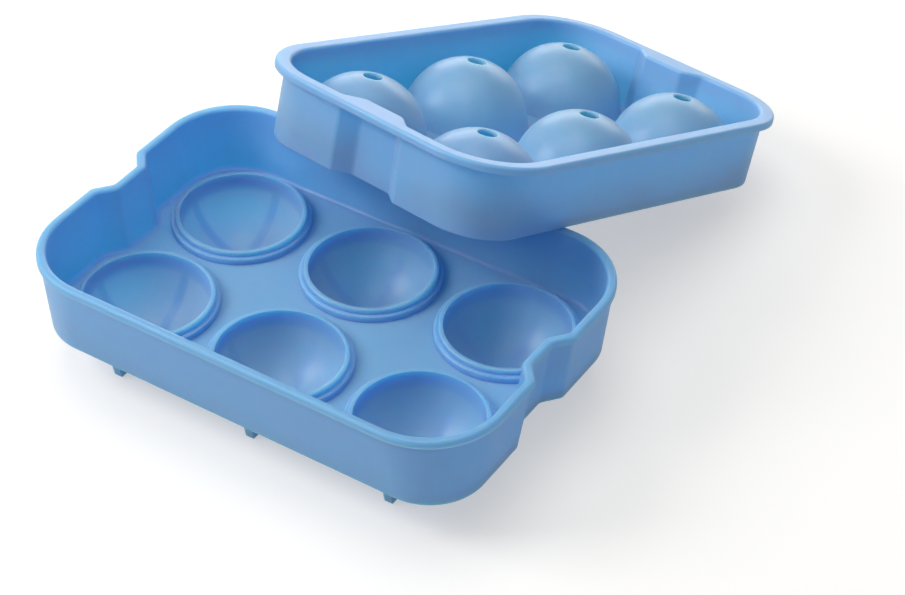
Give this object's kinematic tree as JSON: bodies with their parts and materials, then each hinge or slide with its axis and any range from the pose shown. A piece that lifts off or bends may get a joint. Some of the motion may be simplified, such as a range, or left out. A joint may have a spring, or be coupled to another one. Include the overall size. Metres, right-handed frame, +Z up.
{
  "type": "ice ball mold",
  "caption": "Two-part soft mould for ice balls: a lower tray with hemispherical cups on finned feet and an upper tray with vented domes leaning on its rim.",
  "frame": {"origin": "middle of the footprint of the standing set, on the surface it stands on", "axes": "+Z up, +X along the lower tray's long side, +Y from the lower tray towards the upper tray that leans on its rim"},
  "size_m": [0.184, 0.2672, 0.0906],
  "materials": {
    "lower_silicone": "satin blue silicone, slightly see-through",
    "upper_silicone": "satin blue silicone, slightly see-through"
  },
  "bodies": {
    "root": {"lower_tray": "lower_silicone", "upper_tray": "upper_silicone"}
  },
  "joints": []
}
